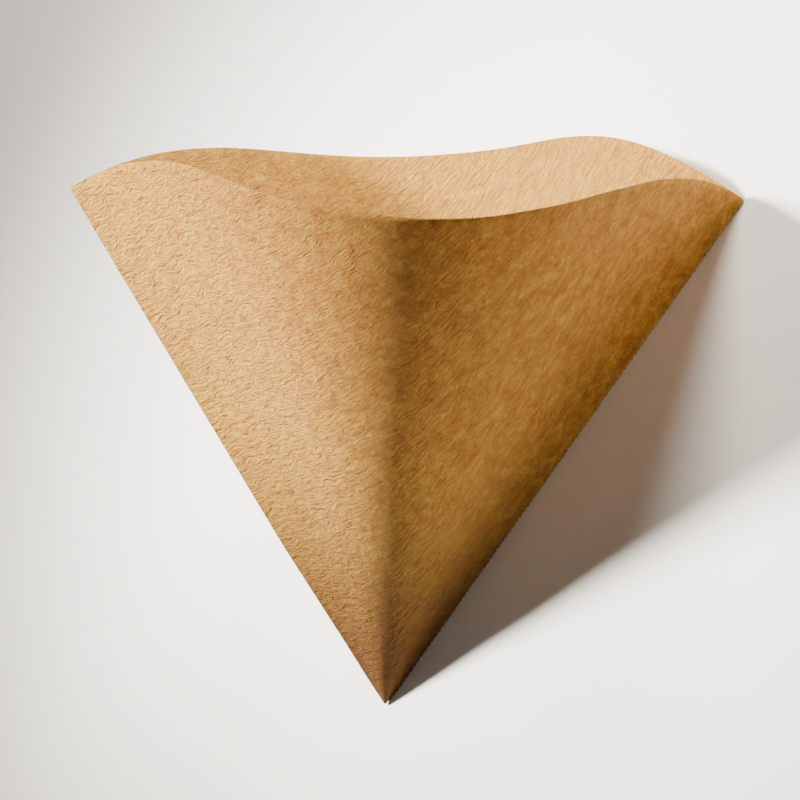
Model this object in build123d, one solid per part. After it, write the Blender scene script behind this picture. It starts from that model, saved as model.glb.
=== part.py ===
from build123d import *
import math
import os
import numpy as np

# Cone-shaped paper coffee filter, opened and lying on its back panel.
# One half-disc of creped filter paper is folded in two along its middle line.
# Its two straight edges are crimped together along a line inset from the edge,
# and the crimped margin is folded over onto the back panel.  Opened by hand,
# the two panels bow apart: every straight line from the tip to the rim stays
# straight, so each panel is a piece of a general cone that rolls out flat to
# a quarter of the disc.
# Millimetres.  +Z up; the floor that the filter lies on is Z = 0.

# ---- driving dimensions -------------------------------------------------
SHEET_RADIUS = 125.0      # radius of the half-disc that the filter is cut from
SEAM_MARGIN = 3.07        # width of the crimped margin beyond the seam line
PAPER = 0.25              # thickness of one ply, over the crepe
HALF_SPREAD = 32.637      # deg, half the angle between the fold and the seam
TIP_BLUNT = 0.40          # the folded tip ends this far above the true apex
CAVITY_START = 3.2        # the two plies part this far above the apex
FLAP_START = 5.0          # tip end of the folded margin, along the seam
FLAP_STOP = 0.40          # rim end of the folded margin, short of the rim
FLAP_PLIES = 2            # the margin is both plies of the sheet
BEND = 0.28               # how far the folded margin bulges past the crease
STATIONS_ALONG = (9.0, 16.0, 30.0, 60.0)   # further sections along the seam

# Bow of each panel out of the plane of its two creases, in degrees, at 11
# stations evenly spread in angle from the fold (first) to the seam (last),
# and the slope with which it leaves each crease, in radians for the full
# spread.
FRONT_BOW = (0.0, 6.15, 14.79, 23.62, 28.45, 30.35, 30.25, 27.38, 20.76, 8.69, 0.0)
FRONT_SLOPES = (0.588, -0.0715)
BACK_BOW = (0.0, 9.77, 20.11, 26.76, 29.82, 30.22, 28.05, 22.31, 11.52, 2.92, 0.0)
BACK_SLOPES = (0.794, -0.385)

# How the filter lies.  Directions in the filter's own upright frame, where
# +X points from the middle to the seam, +Y to the back and +Z from the tip to
# the mouth: the floor's upward normal, and the direction that becomes +Y.
FLOOR_NORMAL = (-0.653436, -0.630929, 0.41827)
HEADING = (-0.06724, 0.98437, -0.16278)

STATIONS = 41             # interpolation points along each rim curve


# ---- the bowed panels ---------------------------------------------------
def clamped_spline(values, slopes):
    """Cubic through evenly spaced values on 0..1 with given end slopes."""
    y = np.array(values, float)
    n = len(y)
    h = 1.0 / (n - 1)
    a = np.zeros((n, n))
    r = np.zeros(n)
    a[0, 0], a[0, 1] = 2 * h, h
    r[0] = 6 * ((y[1] - y[0]) / h - slopes[0])
    a[-1, -1], a[-1, -2] = 2 * h, h
    r[-1] = 6 * (slopes[1] - (y[-1] - y[-2]) / h)
    for i in range(1, n - 1):
        a[i, i - 1], a[i, i], a[i, i + 1] = h, 4 * h, h
        r[i] = 6 * ((y[i + 1] - y[i]) / h - (y[i] - y[i - 1]) / h)
    m = np.linalg.solve(a, r)

    def value(t):
        t = np.clip(np.asarray(t, float), 0, 1)
        i = np.minimum((t / h).astype(int), n - 2)
        u = t - i * h
        c = (y[i + 1] - y[i]) / h - h * (2 * m[i] + m[i + 1]) / 6
        return y[i] + u * (c + u * (m[i] / 2 + u * (m[i + 1] - m[i]) / (6 * h)))

    return value


class Panel:
    """Outer skin of one panel: unit rays from the tip, by developed angle."""

    def __init__(self, bow, slopes, side):
        self.side = side
        bend = clamped_spline(np.radians(bow), slopes)
        spread = math.radians(HALF_SPREAD)
        t = np.linspace(0, 1, 4001)
        b = bend(t)
        w = (2 * t - 1) * spread
        ray = np.stack([np.cos(b) * np.sin(w), side * np.sin(b), np.cos(b) * np.cos(w)], 1)
        step = np.linalg.norm(np.diff(ray, axis=0), axis=1)
        phi = np.r_[0, np.cumsum(step)]
        self.phi = phi * (math.pi / 2 / phi[-1])
        self.ray = ray
        tangent = np.gradient(ray, self.phi, axis=0)
        tangent /= np.linalg.norm(tangent, axis=1)[:, None]
        self.normal = np.cross(ray, tangent) * side

    def at(self, phi, table):
        return np.stack([np.interp(phi, self.phi, table[:, k]) for k in range(3)], -1)

    def rays(self, phi):
        d = self.at(phi, self.ray)
        return d / np.linalg.norm(d, axis=-1, keepdims=True)

    def outward(self, phi):
        d = self.at(phi, self.normal)
        return d / np.linalg.norm(d, axis=-1, keepdims=True)


def rim_distance(phi):
    """Tip to rim along a ray: the rim is one arc about a point on the cut."""
    return -SEAM_MARGIN * np.cos(phi) + np.sqrt(SHEET_RADIUS**2 - (SEAM_MARGIN * np.sin(phi))**2)


front = Panel(FRONT_BOW, FRONT_SLOPES, -1)
back = Panel(BACK_BOW, BACK_SLOPES, 1)


def outer_rim(panel, phi):
    return rim_distance(phi)[..., None] * panel.rays(phi)


def inner_rim(panel, phi):
    return outer_rim(panel, phi) - PAPER * panel.outward(phi)


def outer_level(panel, phi, z):
    d = panel.rays(phi)
    return z / d[..., 2:3] * d


def inner_level(panel, phi, z):
    d, n = panel.rays(phi), panel.outward(phi)
    r = (z + PAPER * n[..., 2:3]) / d[..., 2:3]
    return r * d - PAPER * n


def nearest_pair(curve_a, curve_b, lo, hi):
    """Where the front and back inner curves meet near one crease."""
    la, ha, lb, hb = lo, hi, lo, hi
    for _ in range(9):
        a, b = np.linspace(la, ha, 161), np.linspace(lb, hb, 161)
        pa, pb = curve_a(a), curve_b(b)
        gap = np.linalg.norm(pa[:, None] - pb[None], axis=2)
        i, j = np.unravel_index(gap.argmin(), gap.shape)
        sa, sb = (ha - la) / 40, (hb - lb) / 40
        la, ha = max(lo, a[i] - sa), min(hi, a[i] + sa)
        lb, hb = max(lo, b[j] - sb), min(hi, b[j] + sb)
    return a[i], b[j], (pa[i] + pb[j]) / 2


def inner_pair(curve):
    """Front and back inner curves, trimmed and closed where they cross."""
    cf, cb = (lambda p: curve(front, p)), (lambda p: curve(back, p))
    end = math.pi / 2
    f0, b0, left = nearest_pair(cf, cb, 1e-4, 0.35 * end)
    f1, b1, right = nearest_pair(cf, cb, 0.65 * end, end - 1e-4)
    out = []
    for c, p0, p1 in ((cf, f0, f1), (cb, b0, b1)):
        pts = c(np.linspace(p0, p1, STATIONS))
        w = np.linspace(0, 1, STATIONS)[:, None]
        pts = pts + (left - pts[0]) * (1 - w)**8 + (right - pts[-1]) * w**8
        out.append(pts)
    return out, (f0, b0, f1, b1)


# ---- how it lies --------------------------------------------------------
up = np.array(FLOOR_NORMAL) / np.linalg.norm(FLOOR_NORMAL)
ahead = np.array(HEADING) - np.dot(HEADING, up) * up
ahead /= np.linalg.norm(ahead)
LIE = np.stack([np.cross(ahead, up), ahead, up])


def curve(points):
    """One smooth edge through the points, in the lying frame."""
    pts = [Vector(*map(float, LIE @ p)) for p in points]
    return Edge.make_spline(pts, parameters=[i / (len(pts) - 1) for i in range(len(pts))])


# ---- sections from the tip to the rim -----------------------------------
# Each section is a closed ring on the outer skin: the front panel, the bend of
# the folded margin, the margin's outer face, its cut edge, and the back panel.
def along(p0, p1, count=STATIONS):
    return np.linspace(p0, p1, count)


seam = math.pi / 2
seam_length = float(rim_distance(np.array(seam)))
seam_ray = back.rays(np.array(seam))


def margin_angle(scale):
    """Developed angle where the margin's cut edge lies on the back panel."""
    lo, hi = 0.0, seam
    for _ in range(60):
        mid = (lo + hi) / 2
        if scale * float(rim_distance(np.array(mid))) * math.cos(mid) > SEAM_MARGIN:
            lo = mid
        else:
            hi = mid
    return (lo + hi) / 2


def spot(p):
    return Vector(*map(float, LIE @ p))


def section(u):
    """The outer ring at distance u along the seam."""
    scale = u / seam_length
    cut = margin_angle(scale)
    f = u * seam_ray
    b = scale * outer_rim(back, np.array(cut))
    inward = (b - f) / np.linalg.norm(b - f)
    lift = back.outward(np.array((cut + seam) / 2))
    lift = lift - np.dot(lift, inward) * inward
    lift = lift / np.linalg.norm(lift) * PAPER * FLAP_PLIES
    c, d = b + lift, f + lift - BEND * 0.55 * inward
    m = f + 0.48 * lift - BEND * inward
    return {
        "cut": cut,
        "front": curve(scale * outer_rim(front, along(0, seam))),
        "back": curve(scale * outer_rim(back, along(0, cut))),
        "under": Edge.make_line(spot(b), spot(f)),
        "bend": Edge.make_three_point_arc(spot(f), spot(m), spot(d)),
        "top": Edge.make_line(spot(d), spot(c)),
        "edge": Edge.make_line(spot(c), spot(b)),
    }


ruled = Face.make_surface_from_curves
rings = [section(u) for u in (FLAP_START,) + STATIONS_ALONG + (seam_length - FLAP_STOP,)]
first, last = rings[0], rings[-1]

# the pressed tip, cut square across both plies
low_of = curve(outer_level(front, along(0, seam), TIP_BLUNT))
low_ob = curve(outer_level(back, along(0, first["cut"]), TIP_BLUNT))
low_om = curve(outer_level(back, along(first["cut"], seam, 9), TIP_BLUNT))

# the cut rim, and the inner skins, split where the margin's edge reaches it
(rim_if, rim_ib), rim_ends = inner_pair(inner_rim)
(low_if, low_ib), low_ends = inner_pair(lambda p, f: inner_level(p, f, CAVITY_START))
split = STATIONS - 2
rim_of = curve(outer_rim(front, along(0, seam)))
rim_ob = curve(outer_rim(back, along(0, last["cut"])))
rim_om = curve(outer_rim(back, along(last["cut"], seam, 9)))
rim_if = curve(rim_if)
rim_ib, rim_im = curve(rim_ib[:split + 1]), curve(rim_ib[split:])
low_if = curve(low_if)
low_ib, low_im = curve(low_ib[:split + 1]), curve(low_ib[split:])

faces = [
    Face(Wire([low_of, low_ob, low_om])),
    ruled(low_of, first["front"]),
    ruled(low_ob, first["back"]),
    ruled(low_om, first["under"]),
    Face(Wire([first[k] for k in ("under", "bend", "top", "edge")])),
]
for lower, upper in zip(rings, rings[1:]):
    faces += [ruled(lower[k], upper[k]) for k in ("front", "back", "bend", "top", "edge")]
faces += [
    Face(Wire([last[k] for k in ("under", "bend", "top", "edge")])),
    ruled(last["front"], rim_of),
    ruled(last["back"], rim_ob),
    ruled(last["under"], rim_om),
    ruled(rim_of, rim_if),
    ruled(rim_ob, rim_ib),
    ruled(rim_om, rim_im),
    ruled(low_if, rim_if),
    ruled(low_ib, rim_ib),
    ruled(low_im, rim_im),
    Face(Wire([low_if, low_ib, low_im])),
]
filter_cone = Solid(Shell(faces))
if filter_cone.volume < 0:
    filter_cone = Solid(-filter_cone.wrapped)

# ---- origin at the middle of the footprint's box, on the floor -----------
box = filter_cone.bounding_box()
shift = Vector(-(box.min.X + box.max.X) / 2, -(box.min.Y + box.max.Y) / 2, -box.min.Z)
filter_cone = filter_cone.moved(Location(shift))

os.makedirs("parts", exist_ok=True)
export_step(filter_cone, "parts/filter_cone.step")
box = filter_cone.bounding_box()
print("shift", tuple(round(x, 4) for x in shift))
print("size", [round(x, 3) for x in (box.size.X, box.size.Y, box.size.Z)],
      "volume mm3", round(filter_cone.volume, 1), "valid", filter_cone.is_valid,
      "solids", len(filter_cone.solids()))
print("inner ends deg", [round(math.degrees(float(x)), 2) for x in rim_ends + low_ends])
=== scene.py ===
import math
import bpy
import numpy as np
from mathutils import Matrix, Vector


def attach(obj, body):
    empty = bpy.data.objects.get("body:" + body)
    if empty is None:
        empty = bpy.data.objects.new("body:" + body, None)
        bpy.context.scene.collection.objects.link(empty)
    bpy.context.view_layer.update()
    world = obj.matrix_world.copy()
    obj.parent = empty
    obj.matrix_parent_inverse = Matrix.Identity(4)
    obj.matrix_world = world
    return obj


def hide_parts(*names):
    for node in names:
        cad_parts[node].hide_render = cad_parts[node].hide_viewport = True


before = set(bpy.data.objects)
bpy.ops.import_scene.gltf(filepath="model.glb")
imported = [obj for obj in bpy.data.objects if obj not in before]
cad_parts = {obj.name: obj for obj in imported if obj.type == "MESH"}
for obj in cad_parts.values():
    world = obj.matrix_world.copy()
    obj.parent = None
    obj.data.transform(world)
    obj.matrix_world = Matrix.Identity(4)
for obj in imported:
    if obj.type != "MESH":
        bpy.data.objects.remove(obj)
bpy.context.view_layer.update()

# ---- the filter's own measures, in millimetres, as in its construction ----
RADIUS, MARGIN, PLY = 125.0, 3.07, 0.25
SPREAD = math.radians(32.637)
BOW = {
    -1: ((0.0, 6.15, 14.79, 23.62, 28.45, 30.35, 30.25, 27.38, 20.76, 8.69, 0.0), (0.588, -0.0715)),
    1: ((0.0, 9.77, 20.11, 26.76, 29.82, 30.22, 28.05, 22.31, 11.52, 2.92, 0.0), (0.794, -0.385)),
}
FLOOR_NORMAL = np.array((-0.653436, -0.630929, 0.41827))
HEADING = np.array((-0.06724, 0.98437, -0.16278))
TIP = np.array((-62.1513, -14.2649, 0.526))      # the apex, in the row frame

up = FLOOR_NORMAL / np.linalg.norm(FLOOR_NORMAL)
ahead = HEADING - HEADING @ up * up
ahead /= np.linalg.norm(ahead)
LIE = np.stack([np.cross(ahead, up), ahead, up])


def to_row(p):
    """Upright filter millimetres to row frame metres."""
    return (p @ LIE.T + TIP) * 0.001


def clamped_spline(values, slopes):
    y = np.radians(np.array(values, float))
    n = len(y)
    h = 1.0 / (n - 1)
    a, r = np.zeros((n, n)), np.zeros(n)
    a[0, 0], a[0, 1], r[0] = 2 * h, h, 6 * ((y[1] - y[0]) / h - slopes[0])
    a[-1, -1], a[-1, -2], r[-1] = 2 * h, h, 6 * (slopes[1] - (y[-1] - y[-2]) / h)
    for i in range(1, n - 1):
        a[i, i - 1], a[i, i], a[i, i + 1] = h, 4 * h, h
        r[i] = 6 * ((y[i + 1] - y[i]) / h - (y[i] - y[i - 1]) / h)
    m = np.linalg.solve(a, r)

    def value(t):
        t = np.clip(t, 0, 1)
        i = np.minimum((t / h).astype(int), n - 2)
        u = t - i * h
        c = (y[i + 1] - y[i]) / h - h * (2 * m[i] + m[i + 1]) / 6
        return y[i] + u * (c + u * (m[i] / 2 + u * (m[i + 1] - m[i]) / (6 * h)))

    return value


class Panel:
    def __init__(self, side):
        t = np.linspace(0, 1, 4001)
        b = clamped_spline(*BOW[side])(t)
        w = (2 * t - 1) * SPREAD
        ray = np.stack([np.cos(b) * np.sin(w), side * np.sin(b), np.cos(b) * np.cos(w)], 1)
        phi = np.r_[0, np.cumsum(np.linalg.norm(np.diff(ray, axis=0), axis=1))]
        self.phi = phi * (math.pi / 2 / phi[-1])
        self.ray_table, self.bow = ray, b
        tangent = np.gradient(ray, self.phi, axis=0)
        tangent /= np.linalg.norm(tangent, axis=1)[:, None]
        self.out_table = np.cross(ray, tangent) * side

    def look(self, phi, table):
        d = np.stack([np.interp(phi, self.phi, table[:, k]) for k in range(3)], -1)
        return d / np.linalg.norm(d, axis=-1, keepdims=True)

    def rays(self, phi):
        return self.look(phi, self.ray_table)

    def outward(self, phi):
        return self.look(phi, self.out_table)

    def gap(self, phi):
        return np.interp(phi, self.phi, self.bow)


panels = {-1: Panel(-1), 1: Panel(1)}


def rim(phi):
    return -MARGIN * np.cos(phi) + np.sqrt(RADIUS**2 - (MARGIN * np.sin(phi))**2)


def smooth(x, a, b):
    t = np.clip((x - a) / (b - a), 0, 1)
    return t * t * (3 - 2 * t)


# ---- gentle cockling of the sheet, the same on both of its faces ----------
rng = np.random.default_rng(11)
WAVES = [(rng.uniform(0.10, 0.42), rng.uniform(0, math.pi), rng.uniform(0, 6.28), rng.uniform(0.6, 1.0))
         for _ in range(26)]


def cockle(u, v):
    z = np.zeros_like(u)
    for k, a, p, s in WAVES:
        a = 1.57 + (a - 1.57) * 0.45
        z += s / (1 + 9 * k) * np.sin(k * (u * math.cos(a) + v * math.sin(a)) + p)
    return z / 3.2


def crepe(u, v):
    """Coarse crepe: ridges that run along u and wander."""
    w = v + 0.55 * np.sin(0.41 * u + 1.3 * np.sin(0.23 * v)) + 0.30 * np.sin(1.1 * u + 0.5 * v)
    z = np.sin(3.3 * w + 1.7 * np.sin(0.31 * u + 0.9 * v)) + 0.7 * np.sin(5.1 * w + 1.2 * np.sin(0.57 * u - 0.7 * v) + 2.0)
    return z * (0.6 + 0.4 * np.sin(0.19 * u + 0.37 * v + 1.0))


FOLD_LINE = np.array([-math.sin(SPREAD), 0, math.cos(SPREAD)])
SEAM_LINE = np.array([math.sin(SPREAD), 0, math.cos(SPREAD)])
FOLD_OUT = np.array([-math.cos(SPREAD), 0, -math.sin(SPREAD)])
BOW_AT = (0.0, 0.04, 0.12, 0.22, 0.317, 0.42, 0.52, 0.68, 0.83, 1.0)
BOW_MM = (0.0, 0.22, 0.34, 0.62, 0.86, 0.76, 0.64, 0.47, 0.30, 0.0)


def skin(side, phi, r):
    """Outer face of a panel at developed angle phi and distance r."""
    pan = panels[side]
    n = pan.outward(phi)
    u, v = r * np.sin(phi), r * np.cos(phi)
    away = smooth(v, 2.0, 14.0) * smooth(r * phi, 0.5, 12.0) * smooth(r, 6, 40)
    lift = 0.30 * cockle(side * u, v) * away
    lift = lift + 0.030 * crepe(side * u, v) * smooth(r * phi, 0.2, 2.5) * smooth(v, 3.2, 6.0) * smooth(r, 3, 10)
    p = r[..., None] * pan.rays(phi) + lift[..., None] * n
    bow = np.interp(r / rim(phi), BOW_AT, BOW_MM) * np.exp(-(r * phi / 9.0) ** 2)
    return p + bow[..., None] * FOLD_OUT, n


def add_mesh(name, verts, faces, flat):
    me = bpy.data.meshes.new(name)
    me.from_pydata([tuple(map(float, p)) for p in verts], [], faces)
    at = me.attributes.new("flat", "FLOAT_VECTOR", "POINT")
    at.data.foreach_set("vector", np.asarray(flat, np.float32).ravel())
    me.update()
    for poly in me.polygons:
        poly.use_smooth = True
    o = bpy.data.objects.new(name, me)
    bpy.context.scene.collection.objects.link(o)
    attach(o, "root")
    return o


# ---- the sheet: both faces, its cut rim and its pressed tip ---------------
NP = 215                                   # columns from the fold to the seam
NR = 92                                    # rows from the tip to the rim
phis = np.concatenate([np.linspace(0, 1, NP + 1)])
phis = (phis + 0.10 * np.sin(2 * math.pi * phis) * -0.9) * (math.pi / 2)
phis = np.clip(phis, 0, math.pi / 2)
cols = np.concatenate([-phis[::-1], phis[1:]])          # seam front .. fold .. seam back
rows = np.linspace(0, 1, NR + 1) ** 0.92

out_p, in_p, flat = [], [], []
for a in cols:
    side = -1 if a < 0 else 1
    phi = np.full(NR + 1, abs(a))
    r = 0.35 + (rim(phi) - 0.35) * rows
    if abs(a) < 1e-9:
        p0, n0 = skin(-1, phi, r)
        p1, n1 = skin(1, phi, r)
        p, n = (p0 + p1) / 2, None
        q = p - np.outer(np.minimum(PLY * 1.6, r * 0.2), FOLD_OUT)
    else:
        p, n = skin(side, phi, r)
        room = np.minimum(PLY, 0.02 + 0.80 * r * np.sin(panels[side].gap(phi)))
        room = np.minimum(room, 0.25 * r)
        q = p - room[:, None] * n
    out_p.append(p)
    in_p.append(q)
    flat.append(np.stack([r * math.sin(a), r * np.cos(phi), np.zeros(NR + 1)], 1))
out_p, in_p, flat = np.array(out_p), np.array(in_p), np.array(flat)
# front and back columns at the seam share their outer line
seam_line = (out_p[0] + out_p[-1]) / 2
out_p[0] = out_p[-1] = seam_line
in_seam = seam_line - 0.35 * np.minimum(1, seam_line[:, 2:3] / 4) * np.array([math.cos(SPREAD), 0, -math.sin(SPREAD)])
in_p[0] = in_p[-1] = in_seam
NC = len(cols)
verts = np.concatenate([to_row(out_p.reshape(-1, 3)), to_row(in_p.reshape(-1, 3))])
flats = np.concatenate([flat.reshape(-1, 3), flat.reshape(-1, 3) + np.array([0, 0, 40.0])])
remap = np.arange(len(verts))
H = NR + 1
last = (NC - 1) * H
remap[last:last + H] = np.arange(H)                       # weld the outer seam column
off = NC * H
remap[off + last:off + last + H] = off + np.arange(H)     # and the inner one
faces = []
for i in range(NC - 1):
    for j in range(NR):
        a, b, c, d = i * H + j, (i + 1) * H + j, (i + 1) * H + j + 1, i * H + j + 1
        faces.append([a, b, c, d])
        faces.append([off + d, off + c, off + b, off + a])
    faces.append([i * H + NR, (i + 1) * H + NR, off + (i + 1) * H + NR, off + i * H + NR])
    faces.append([off + i * H, off + (i + 1) * H, (i + 1) * H, i * H])
faces = [[int(remap[k]) for k in f] for f in faces]
used = np.unique([k for f in faces for k in f])
index = {int(k): n for n, k in enumerate(used)}
faces = [[index[k] for k in f] for f in faces]
sheet = add_mesh("paper_sheet", verts[used], faces, flats[used])
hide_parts("filter_cone")

# ---- the crimped margin, two plies, folded over onto the back panel -------
back = panels[1]
seam_len = float(rim(np.array(math.pi / 2)))
stations = np.linspace(1.2, seam_len - 0.25, 520)
side_out = np.array([math.cos(SPREAD), 0, -math.sin(SPREAD)])     # away from the panel


def margin_ring(u):
    tooth = 0.5 + 0.5 * math.sin(2 * math.pi * u / 1.25 + 0.6 * math.sin(u * 0.21))
    ragged = 0.05 * math.sin(u * 1.9) + 0.04 * math.sin(u * 3.7 + 1)
    pts = []
    flat_pts = []

    def at(v, lift):
        vv = max(v, 0.0)
        r, f = math.hypot(u, vv), math.atan2(u, vv)
        p = r * back.rays(np.array(f)) + lift * back.outward(np.array(f))
        if v < 0:
            p = p - v * side_out
        pts.append(p)
        flat_pts.append((u, -abs(v) - lift * 2, 20.0))

    press = 0.11 * tooth
    slim = float(smooth(np.array(u), 0, 7))
    top = (2 * PLY - 0.02) * (0.5 + 0.5 * slim)
    bulge = 0.16 + 0.16 * tooth
    at(0.45, -0.05)
    at(0.02, -0.13)
    at(-bulge * 0.55, -0.10)
    at(-bulge * 0.95, 0.03)
    at(-bulge, 0.5 * top)
    at(-bulge * 0.8, 0.85 * top)
    at(-bulge * 0.2, top + 0.02 - press * 0.3)
    width = MARGIN + ragged
    for f in (0.08, 0.2, 0.35, 0.5, 0.65, 0.8, 0.92):
        at(width * f, top + 0.10 * math.sin(math.pi * f) - press * math.sin(math.pi * f) ** 0.5)
    at(width, top + 0.02)
    at(width + 0.01, top * 0.5)
    at(width, 0.015)
    at(width * 0.6, -0.03)
    return pts, flat_pts


ring_p, ring_f = zip(*[margin_ring(float(u)) for u in stations])
K = len(ring_p[0])
mv = to_row(np.array(ring_p).reshape(-1, 3))
mf = np.array(ring_f).reshape(-1, 3)
mfaces = [[i * K + k, i * K + (k + 1) % K, (i + 1) * K + (k + 1) % K, (i + 1) * K + k]
          for i in range(len(stations) - 1) for k in range(K)]
mfaces.append([k for k in range(K)][::-1])
mfaces.append([(len(stations) - 1) * K + k for k in range(K)])
margin = add_mesh("crimped_margin", mv, mfaces, mf)


# ---- unbleached creped paper ---------------------------------------------
def paper(name):
    m = bpy.data.materials.new(name)
    m.use_nodes = True
    nt = m.node_tree
    nt.nodes.clear()
    N, link = nt.nodes.new, nt.links.new

    def math_node(op, a, b=None, clamp=False):
        n = N("ShaderNodeMath")
        n.operation, n.use_clamp = op, clamp
        for k, x in enumerate((a, b)):
            if x is None:
                continue
            if isinstance(x, (int, float)):
                n.inputs[k].default_value = x
            else:
                link(x, n.inputs[k])
        return n.outputs[0]

    def noise(vec, scale, detail, rough, distortion=0.0):
        n = N("ShaderNodeTexNoise")
        n.inputs["Scale"].default_value = scale
        n.inputs["Detail"].default_value = detail
        n.inputs["Roughness"].default_value = rough
        n.inputs["Distortion"].default_value = distortion
        link(vec, n.inputs["Vector"])
        return n.outputs["Fac"]

    def stretch(vec, sx, sy, rot=0.0):
        n = N("ShaderNodeMapping")
        n.inputs["Scale"].default_value = (sx, sy, 1)
        n.inputs["Rotation"].default_value = (0, 0, rot)
        link(vec, n.inputs["Vector"])
        return n.outputs["Vector"]

    def ramp(fac, stops):
        n = N("ShaderNodeValToRGB")
        els = n.color_ramp.elements
        while len(els) < len(stops):
            els.new(0.5)
        for e, (pos, col) in zip(els, stops):
            e.position, e.color = pos, (*col, 1)
        link(fac, n.inputs["Fac"])
        return n.outputs["Color"]

    def span(x, a, b, lo=0.0, hi=1.0):
        n = N("ShaderNodeMapRange")
        n.interpolation_type = "SMOOTHSTEP"
        n.inputs["From Min"].default_value = a
        n.inputs["From Max"].default_value = b
        n.inputs["To Min"].default_value = lo
        n.inputs["To Max"].default_value = hi
        link(x, n.inputs["Value"])
        return n.outputs["Result"]

    def mix(fac, a, b, blend="MIX"):
        n = N("ShaderNodeMix")
        n.data_type, n.blend_type = "RGBA", blend
        for key, x in (("Factor", fac), ("A", a), ("B", b)):
            sock = [s for s in n.inputs if s.name == key and s.enabled and
                    s.type == ("VALUE" if key == "Factor" else "RGBA")][0]
            if isinstance(x, (int, float)):
                sock.default_value = x
            elif isinstance(x, tuple):
                sock.default_value = (*x, 1)
            else:
                link(x, sock)
        return [s for s in n.outputs if s.type == "RGBA"][0]

    at = N("ShaderNodeAttribute")
    at.attribute_name = "flat"
    vec = at.outputs["Vector"]
    sep = N("ShaderNodeSeparateXYZ")
    link(vec, sep.inputs[0])
    U, V, W = sep.outputs

    # crepe ridges run along U; they wander, break and vary in depth
    warp = noise(stretch(vec, 0.16, 0.30), 1.0, 2.0, 0.5)
    shift = N("ShaderNodeVectorMath")
    shift.operation = "MULTIPLY_ADD"
    comb = N("ShaderNodeCombineXYZ")
    link(warp, comb.inputs[1])
    link(warp, comb.inputs[0])
    link(comb.outputs[0], shift.inputs[0])
    shift.inputs[1].default_value = (2.5, 3.4, 0)
    link(vec, shift.inputs[2])
    wv = shift.outputs[0]
    ridge_a = noise(stretch(wv, 0.30, 1.05), 1.0, 3.0, 0.55, 0.35)
    ridge_b = noise(stretch(wv, 0.42, 2.3), 1.0, 3.0, 0.6, 0.2)
    fibre = noise(stretch(vec, 1.1, 4.2, 0.12), 1.0, 4.0, 0.65, 0.4)
    grain = noise(vec, 5.5, 3.0, 0.6)
    fold_side = span(U, -88.0, -20.0, 0.0, 1.0)
    ridge = math_node("ADD", math_node("MULTIPLY", ridge_a, math_node("ADD", math_node("MULTIPLY", fold_side, 0.75), 0.35)),
                      math_node("MULTIPLY", ridge_b, 0.55))
    height = math_node("ADD", ridge, math_node("MULTIPLY", fibre, 0.42))
    height = math_node("ADD", height, math_node("MULTIPLY", grain, 0.16))

    # colour: warm tan, cloudy where the pulp is thicker, with darker flecks, a painted highlight on the crepe ridges
    # and painted shade in the fibre troughs
    cloud = noise(stretch(vec, 0.22, 0.30), 1.0, 4.0, 0.62, 0.5)
    blotch = noise(stretch(vec, 0.55, 0.75), 1.0, 3.0, 0.55, 0.6)
    tone = math_node("ADD", math_node("MULTIPLY", cloud, 0.55), math_node("MULTIPLY", blotch, 0.45))
    base = ramp(tone, [(0.34, (0.46, 0.180, 0.030)), (0.50, (0.66, 0.310, 0.058)), (0.66, (0.84, 0.47, 0.085))])
    # painted highlight: the crests of the crepe ridges are coloured lighter
    ridge_painted_highlight = span(ridge, 0.55, 1.02)
    base = mix(math_node("MULTIPLY", ridge_painted_highlight, 0.42), base, (0.95, 0.60, 0.12))
    # painted shade: the troughs of the fibre relief are coloured darker
    fibre_crest = span(fibre, 0.36, 0.62)
    base = mix(math_node("MULTIPLY", math_node("SUBTRACT", 1.0, fibre_crest), 0.46), base, (0.31, 0.125, 0.03))
    fleck = noise(stretch(vec, 1.5, 2.2), 1.0, 2.0, 0.5, 1.2)
    base = mix(math_node("MULTIPLY", span(fleck, 0.66, 0.78), 0.30), base, (0.24, 0.095, 0.025))

    # painted shade: the colour darkens towards the pressed tip, where the plies lie together
    reach = N("ShaderNodeVectorMath")
    reach.operation = "LENGTH"
    flat2 = N("ShaderNodeCombineXYZ")
    link(U, flat2.inputs[0])
    link(V, flat2.inputs[1])
    link(flat2.outputs[0], reach.inputs[0])
    # painted shade, strongest at the tip and fading out by 72 mm
    tip_painted_shade = span(reach.outputs["Value"], 6.0, 72.0, 0.86, 0.0)
    base = mix(tip_painted_shade, base, (0.085, 0.022, 0.006))

    bump = N("ShaderNodeBump")
    bump.inputs["Strength"].default_value = 1.0
    bump.inputs["Distance"].default_value = 0.0019
    link(height, bump.inputs["Height"])

    p = N("ShaderNodeBsdfPrincipled")
    p.inputs["Roughness"].default_value = 0.78
    p.inputs["Specular IOR Level"].default_value = 0.12
    p.inputs["Sheen Weight"].default_value = 0.02
    p.inputs["Sheen Roughness"].default_value = 0.5
    link(base, p.inputs["Base Color"])
    link(bump.outputs["Normal"], p.inputs["Normal"])
    t = N("ShaderNodeBsdfTranslucent")
    glow = mix(1.0, base, (1.0, 0.86, 0.62), "MULTIPLY")
    link(glow, t.inputs["Color"])
    link(bump.outputs["Normal"], t.inputs["Normal"])
    s = N("ShaderNodeMixShader")
    s.inputs["Fac"].default_value = 0.17
    link(p.outputs[0], s.inputs[1])
    link(t.outputs[0], s.inputs[2])
    o = N("ShaderNodeOutputMaterial")
    link(s.outputs[0], o.inputs["Surface"])
    return m


brown = paper("unbleached_creped_paper")
for piece in (sheet, margin):
    piece.data.materials.append(brown)

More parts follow.
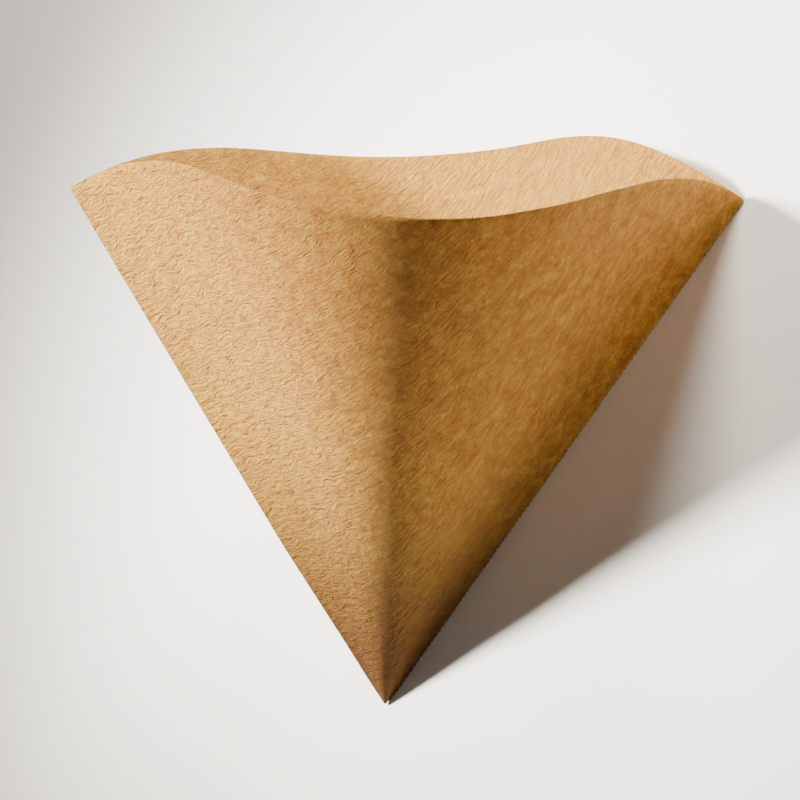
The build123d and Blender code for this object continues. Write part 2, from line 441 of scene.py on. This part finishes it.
# ---- floor, lights and camera --------------------------------------------
me = bpy.data.meshes.new("floor")
me.from_pydata([(-3, -3, 0), (3, -3, 0), (3, 3, 0), (-3, 3, 0)], [], [(0, 1, 2, 3)])
floor = bpy.data.objects.new("floor", me)
bpy.context.scene.collection.objects.link(floor)
fm = bpy.data.materials.new("pale_floor")
fm.use_nodes = True
fb = fm.node_tree.nodes["Principled BSDF"]
fb.inputs["Base Color"].default_value = (0.86, 0.86, 0.86, 1)
fb.inputs["Roughness"].default_value = 0.9
fb.inputs["Specular IOR Level"].default_value = 0.1
me.materials.append(fm)

# camera axes in the filter's upright frame (right, up, back)
CAM = np.array([[0.99695, -0.03960, 0.06724], [0.07277, 0.16039, -0.98437], [0.02820, 0.98626, 0.16278]])
# rows: the filter's X, Y and Z in camera axes
R = LIE @ CAM                                   # camera vector to row vector
u_, _, v_ = np.linalg.svd(R)
R = u_ @ v_
MM = RADIUS / 616.95
tip_cam = np.array([-14.7, -305.0, -3084.75]) * MM
eye = (TIP - R @ tip_cam) * 0.001
cam = bpy.data.cameras.new("camera")
cam.sensor_width = 36
cam.lens = 36 * 3084.75 / 800
cam.clip_end = 10
co = bpy.data.objects.new("camera", cam)
mat = Matrix([[*R[0], eye[0]], [*R[1], eye[1]], [*R[2], eye[2]], [0, 0, 0, 1]])
co.matrix_world = mat
bpy.context.scene.collection.objects.link(co)
bpy.context.scene.camera = co

middle = np.array([0.0, 0.0, 0.04])


def area(name, direction, distance, size, power, colour=(1, 1, 1), target=middle):
    """A soft light; direction is from the object, in camera axes."""
    d = R @ (np.array(direction, float) / np.linalg.norm(direction))
    light = bpy.data.lights.new(name, "AREA")
    light.shape, light.size = "DISK", size
    light.energy, light.color = power, colour
    o = bpy.data.objects.new(name, light)
    pos = Vector(target + d * distance)
    o.location = pos
    o.rotation_euler = (Vector(target) - pos).to_track_quat("-Z", "Y").to_euler()
    bpy.context.scene.collection.objects.link(o)
    print(name, "height", round(pos.z, 3))


def spot_at(x, y, z=0.0):
    """A point near the object, in millimetres in camera axes from the tip."""
    return (TIP + R @ np.array([x, y, z], float)) * 0.001


def soft_spot(name, direction, distance, radius, cone, power, colour, target):
    """A soft spot, so that its pool of light fades evenly to its edge."""
    d = R @ (np.array(direction, float) / np.linalg.norm(direction))
    light = bpy.data.lights.new(name, "SPOT")
    light.shadow_soft_size = radius
    light.spot_size, light.spot_blend = math.radians(cone), 1.0
    light.energy, light.color = power, colour
    o = bpy.data.objects.new(name, light)
    o.location = Vector(target + d * distance)
    o.rotation_euler = (Vector(target) - o.location).to_track_quat("-Z", "Y").to_euler()
    bpy.context.scene.collection.objects.link(o)
    print(name, "height", round(o.location.z, 3))


soft_spot("key", (-0.93, 0.34, 0.20), 0.50, 0.07, 36, 92.0, (1.0, 0.94, 0.82), spot_at(-52, 98, 12))
area("rim_light", (-0.05, 0.93, 0.20), 0.40, 0.20, 4.6, (1.0, 0.93, 0.80), spot_at(25, 110, 0))
soft_spot("low_fill", (0.62, 0.50, 0.52), 0.50, 0.05, 19, 13.0, (1.0, 0.93, 0.82), spot_at(56, 98, 10))
world = bpy.data.worlds.new("studio")
world.use_nodes = True
world.node_tree.nodes["Background"].inputs["Color"].default_value = (1.0, 0.98, 0.95, 1)
world.node_tree.nodes["Background"].inputs["Strength"].default_value = 0.085
bpy.context.scene.world = world
